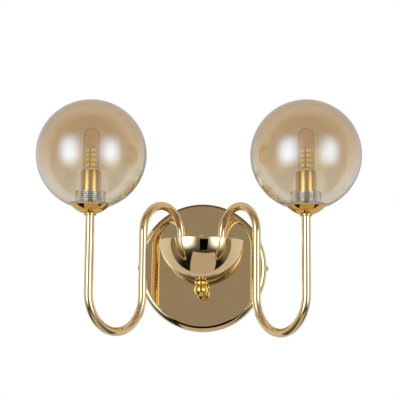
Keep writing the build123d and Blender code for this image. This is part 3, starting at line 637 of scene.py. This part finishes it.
globe_r = (globe_high[0] - globe_low[0]) / 2
glass_wall = 0.002
globe_inner_r = globe_r - glass_wall
globe_z = globe_high[2] - globe_r
mouth_z = globe_low[2]
lip_r = 0.005
lip_z = mouth_z + lip_r
lip_out = sqrt((globe_r - lip_r) ** 2 - (globe_z - lip_z) ** 2)
lip_angle = degrees(atan2(lip_z - globe_z, lip_out))
mouth_r = 0.003
thread_gap = 0.00055
neck_wall = 0.00375
neck_rise = 0.0004
neck_bore_r = crest_r + thread_gap
neck_outer_r = neck_bore_r + neck_wall
neck_top_z = shoulder_z + neck_rise
neck_round = 0.0005
fold_r = 0.002
glass_floor_z = mouth_z + glass_wall
glass = bow((0, globe_z), globe_r, 90, lip_angle, 96)
glass += bow((lip_out, lip_z), lip_r, lip_angle, -90, 8)[1:]
glass += bow((neck_bore_r + mouth_r, mouth_z + mouth_r), mouth_r, -90, -180, 8)
glass += bow((neck_bore_r + neck_round, neck_top_z - neck_round), neck_round, 180, 90, 5)
glass += bow((neck_outer_r - neck_round, neck_top_z - neck_round), neck_round, 90, 0, 5)
glass += bow((neck_outer_r + fold_r, glass_floor_z + fold_r), fold_r, 180, 270, 8)
glass += bow((lip_out, lip_z), lip_r - glass_wall, -90, lip_angle, 8)
glass += bow((0, globe_z), globe_inner_r, lip_angle, 90, 96)[1:]
for side, sign in sides:
    middle = Vector((sign * lamp_x, lamp_y, globe_z))
    globe = turn(f"globe_glass_{side}", glass, centre=(sign * lamp_x, lamp_y, 0), steps=160)
    fit(globe, lustre, "amber_glass", f"globe_{side}", f"globe_{side}")
    globe.data.materials.append(plain_glass)
    globe.visible_shadow = False
    globe.visible_diffuse = False
    for face in globe.data.polygons:
        outside = (face.center - middle).length > globe_r - glass_wall / 4
        face.material_index = 0 if outside else 1

# Floor: a wide sheet of pale card, well below the light.
# It fades to white towards its edges, where the camera would see them against the white background.
floor_place = (0, -0.20, -1.40)
floor_size = 6.0
fade_start, fade_end = 0.6, 2.4
middle_glow, edge_glow = 0.3, 1.0
bpy.ops.object.select_all(action="DESELECT")
bpy.ops.mesh.primitive_plane_add(size=floor_size, location=floor_place)
bpy.ops.object.transform_apply(location=True)
floor = bpy.context.object
floor.name = "floor"
floor.visible_glossy = False
floor.visible_transmission = False
card, nodes, links, shader = start_finish("pale_card")
shader.inputs["Roughness"].default_value = 0.8
dust = speckle(nodes, links, 12)
links.new(ramp(nodes, links, dust, (0.80, 0.79, 0.77), (0.84, 0.83, 0.81)), shader.inputs["Base Color"])
offset = nodes.new("ShaderNodeVectorMath")
offset.operation = "DISTANCE"
offset.inputs[1].default_value = floor_place
links.new(nodes.new("ShaderNodeTexCoord").outputs["Object"], offset.inputs[0])
whiter = nodes.new("ShaderNodeMapRange")
whiter.inputs["From Min"].default_value = fade_start
whiter.inputs["From Max"].default_value = fade_end
whiter.inputs["To Min"].default_value = middle_glow
whiter.inputs["To Max"].default_value = edge_glow
links.new(offset.outputs["Value"], whiter.inputs["Value"])
glow = nodes.new("ShaderNodeMath")
glow.operation = "MULTIPLY"
links.new(nodes.new("ShaderNodeLightPath").outputs["Is Camera Ray"], glow.inputs[0])
links.new(whiter.outputs["Result"], glow.inputs[1])
shader.inputs["Emission Color"].default_value = (1, 1, 1, 1)
links.new(glow.outputs["Value"], shader.inputs["Emission Strength"])
floor.data.materials.append(card)

# Flags: cards of black velvet and grey felt that only the polished metal sees.
# One close in front of the bowl shows there as a dark box, and two bent strips by the canopy draw
# a black line along its bottom edge and a brown one along its top.


def weave(name, low, high):
    """Matt cloth without any shine."""
    fabric, nodes, links, shader = start_finish(name)
    shader.inputs["Roughness"].default_value = 1.0
    shader.inputs["Specular IOR Level"].default_value = 0.0
    links.new(ramp(nodes, links, speckle(nodes, links, 800), low, high), shader.inputs["Base Color"])
    return fabric


velvet = weave("black_velvet", (0.004, 0.004, 0.004), (0.008, 0.008, 0.007))
felt = weave("grey_felt", (0.38, 0.37, 0.36), (0.42, 0.41, 0.40))
flag_left, flag_right = -0.0010, 0.0174
flag_low, flag_high = -0.0043, 0.0228
flag_gap = 0.020
flag_middle = ((flag_left + flag_right) / 2, bowl_low[1] - flag_gap, (flag_low + flag_high) / 2)
bpy.ops.object.select_all(action="DESELECT")
bpy.ops.mesh.primitive_plane_add(size=1, location=flag_middle, rotation=(pi / 2, 0, 0))
bowl_flag = bpy.context.object
bowl_flag.name = "bowl_flag"
bowl_flag.scale = (flag_right - flag_left, flag_high - flag_low, 1)
bpy.ops.object.transform_apply(location=True, rotation=True, scale=True)
flags = [(bowl_flag, velvet)]
front_y = face_y - 0.0085
front_inner_r, front_outer_r = canopy_r - 0.0057, canopy_r + 0.0044
front_ends_z = -0.064
upper_r = canopy_r + 0.0065
upper_front_y, upper_back_y = face_y - 0.003, face_y + 0.013
upper_ends_z = 0.050
strips = (
    ("bottom_flag", [(front_inner_r, front_y), (front_outer_r, front_y)], front_ends_z, 1, velvet),
    ("top_flag", [(upper_r, upper_front_y), (upper_r, upper_back_y)], upper_ends_z, -1, felt),
)
for name, strip, cut_z, cut_side, cloth in strips:
    flags.append((turn(name, strip, axis="Y"), cloth))
    bpy.ops.object.mode_set(mode="EDIT")
    bpy.ops.mesh.select_all(action="SELECT")
    bpy.ops.mesh.bisect(plane_co=(0, 0, cut_z), plane_no=(0, 0, cut_side), clear_outer=True)
    bpy.ops.object.mode_set(mode="OBJECT")
for flag, cloth in flags:
    flag.data.materials.append(cloth)
    flag.visible_camera = False
    flag.visible_diffuse = False
    flag.visible_transmission = False
    flag.visible_shadow = False

# Studio: a world of colours by direction, which the metal and the glass mirror. A pale backdrop stands
# behind, a dim room with two soft boxes and the edge of a table in front, and the floor of the room is dark.
# The camera, and the first look through the glass, see plain white instead.
world = bpy.data.worlds.new("studio")
bpy.context.scene.world = world
world.use_nodes = True
nodes, links = world.node_tree.nodes, world.node_tree.links
background = nodes["Background"]
direction = nodes.new("ShaderNodeTexCoord").outputs["Generated"]
nearly_none = 0.01


def along(vector):
    """How far a direction points along a vector."""
    dot = nodes.new("ShaderNodeVectorMath")
    dot.operation = "DOT_PRODUCT"
    dot.inputs[1].default_value = vector
    links.new(direction, dot.inputs[0])
    return dot.outputs["Value"]


def sums(operation, first, second):
    """One step of arithmetic on numbers or sockets."""
    step = nodes.new("ShaderNodeMath")
    step.operation = operation
    for socket, value in zip(step.inputs, (first, second)):
        if isinstance(value, (int, float)):
            socket.default_value = value
        else:
            links.new(value, socket)
    return step.outputs["Value"]


def fade(value, start, end):
    """Soft step from 0 at start to 1 at end."""
    step = nodes.new("ShaderNodeMapRange")
    step.interpolation_type = "SMOOTHSTEP"
    step.inputs["From Min"].default_value = start
    step.inputs["From Max"].default_value = end
    links.new(value, step.inputs["Value"])
    return step.outputs["Result"]


def over(base, layer, share):
    """Lay one colour over another by a share."""
    mix = nodes.new("ShaderNodeMix")
    mix.data_type = "RGBA"
    for socket, value in ((mix.inputs[6], base), (mix.inputs[7], layer)):
        if isinstance(value, tuple):
            socket.default_value = (*value, 1)
        else:
            links.new(value, socket)
    links.new(share, mix.inputs[0])
    return mix.outputs[2]


def panel(azimuth, elevation, half_width, half_height, edge):
    """Share of a soft-edged panel seen in a direction, with angles in degrees from straight in front."""
    swing, lift = radians(azimuth), radians(elevation)
    centre = (sin(swing) * cos(lift), -cos(swing) * cos(lift), sin(lift))
    right = (cos(swing), sin(swing), 0)
    up = (-sin(swing) * sin(lift), cos(swing) * sin(lift), cos(lift))
    ahead = along(centre)
    share = fade(ahead, 0.0, 0.1)
    for axis, half in ((right, half_width), (up, half_height)):
        off = sums("ABSOLUTE", sums("DIVIDE", along(axis), sums("MAXIMUM", ahead, nearly_none)), 0)
        share = sums("MULTIPLY", share, fade(off, half + edge, half - edge))
    return share


path = nodes.new("ShaderNodeLightPath").outputs
height = along((0, 0, 1))
depth = along((0, 1, 0))
sideways = along((1, 0, 0))
room_low, room_high = (0.19, 0.183, 0.18), (0.343, 0.331, 0.329)
room_floor = (0.015, 0.013, 0.010)
room_sides = (0.238, 0.233, 0.236)
room = over(room_low, room_high, fade(height, -0.30, 0.02))
room = over(room_floor, room, fade(height, -0.82, -0.30))
room = over(room, room_sides, fade(sums("ABSOLUTE", sideways, 0), 0.62, 0.90))
backdrop_low, backdrop_high = (0.63, 0.634, 0.676), (0.79, 0.79, 0.80)
backdrop_middle, backdrop_top = (0.42, 0.41, 0.39), (0.63, 0.61, 0.58)
backdrop = over(backdrop_low, backdrop_high, fade(height, -0.9, 0.1))
backdrop = over(backdrop, backdrop_middle, fade(depth, 0.80, 0.95))
up_back = sums("MULTIPLY", fade(height, 0.15, 0.45), fade(depth, 0.1, 0.45))
backdrop = over(backdrop, backdrop_top, up_back)
lean = 0.44
below = fade(sums("ADD", depth, sums("MULTIPLY", height, lean)), -0.06, -0.01)
above = fade(depth, -0.5, 0.4)
upper = fade(height, -0.1, 0.2)
behind = sums("ADD", sums("MULTIPLY", below, sums("SUBTRACT", 1, upper)), sums("MULTIPLY", above, upper))
studio = over(room, backdrop, behind)

drop = sums("MAXIMUM", sums("MULTIPLY", height, -1), nearly_none)
back = sums("DIVIDE", depth, drop)
aside = sums("DIVIDE", sideways, drop)
table_shift, table_skew = 0.09, -0.16
table_half, table_taper = 0.49, -0.28
table_front, table_slant = -1.08, 0.18
table_edge = 0.02
table_front_edge = 0.045
table_colour = (0.56, 0.535, 0.53)
table_middle = sums("ADD", table_shift, sums("MULTIPLY", back, table_skew))
table_reach = sums("ADD", table_half, sums("MULTIPLY", back, table_taper))
past_side = sums("SUBTRACT", sums("ABSOLUTE", sums("SUBTRACT", aside, table_middle), 0), table_reach)
past_front = sums("SUBTRACT", back, sums("MULTIPLY", aside, table_slant))
table = fade(past_side, table_edge, -table_edge)
table = sums("MULTIPLY", table, fade(past_front, table_front, table_front + table_front_edge))
table = sums("MULTIPLY", table, sums("MULTIPLY", fade(back, 0.5, 0.4), fade(height, -0.25, -0.35)))
table = sums("MULTIPLY", table, sums("LESS_THAN", path["Transmission Depth"], 0.5))
studio = over(studio, table_colour, table)
left_box, right_box = (2.55, 3.4, 4.65), (2.4, 3.2, 4.35)
studio = over(studio, left_box, panel(-39, 1, 0.31, 0.40, 0.30))
studio = over(studio, right_box, panel(47, 1, 0.29, 0.38, 0.30))

white = (1, 1, 1)
straight = sums("LESS_THAN", sums("ADD", path["Glossy Depth"], path["Diffuse Depth"]), 0.5)
through = sums("MULTIPLY", path["Is Transmission Ray"], straight)
plain = sums("MAXIMUM", path["Is Camera Ray"], through)
links.new(over(studio, white, plain), background.inputs["Color"])

# Key lamp: a wide soft lamp, high in front and a little to the left.
# It lights the matt pieces, and neither metal nor glass mirrors it.
lamp_place = (-0.2, -1.5, 0.8)
lamp_tilt = radians(60)
lamp_light = bpy.data.lights.new("key_lamp", "AREA")
lamp_light.size = 0.9
lamp_light.energy = 14
lamp_light.color = (1.0, 0.94, 0.84)
key_lamp = bpy.data.objects.new("key_lamp", lamp_light)
bpy.context.scene.collection.objects.link(key_lamp)
key_lamp.matrix_world = Matrix.Translation(lamp_place) @ Matrix.Rotation(lamp_tilt, 4, "X")
key_lamp.visible_glossy = False
key_lamp.visible_transmission = False
key_lamp.visible_camera = False

# Camera: a long lens, a little below the light and looking up at it.
# Its place and turn follow from the outlines of the globes, arms and canopy in the photo.
camera_place = (0.0473, -1.3588, -0.1078)
camera_turn, camera_tilt, camera_roll = radians(2.19), radians(98.1), radians(0.53)
camera = bpy.data.objects.new("camera", bpy.data.cameras.new("camera"))
bpy.context.scene.collection.objects.link(camera)
bpy.context.scene.camera = camera
camera.data.lens = 99.5
camera.data.sensor_width = 36
camera.matrix_world = (
    Matrix.Translation(camera_place)
    @ Matrix.Rotation(camera_turn, 4, "Z")
    @ Matrix.Rotation(camera_tilt, 4, "X")
    @ Matrix.Rotation(camera_roll, 4, "Z")
)
bpy.context.scene.view_settings.view_transform = "Standard"
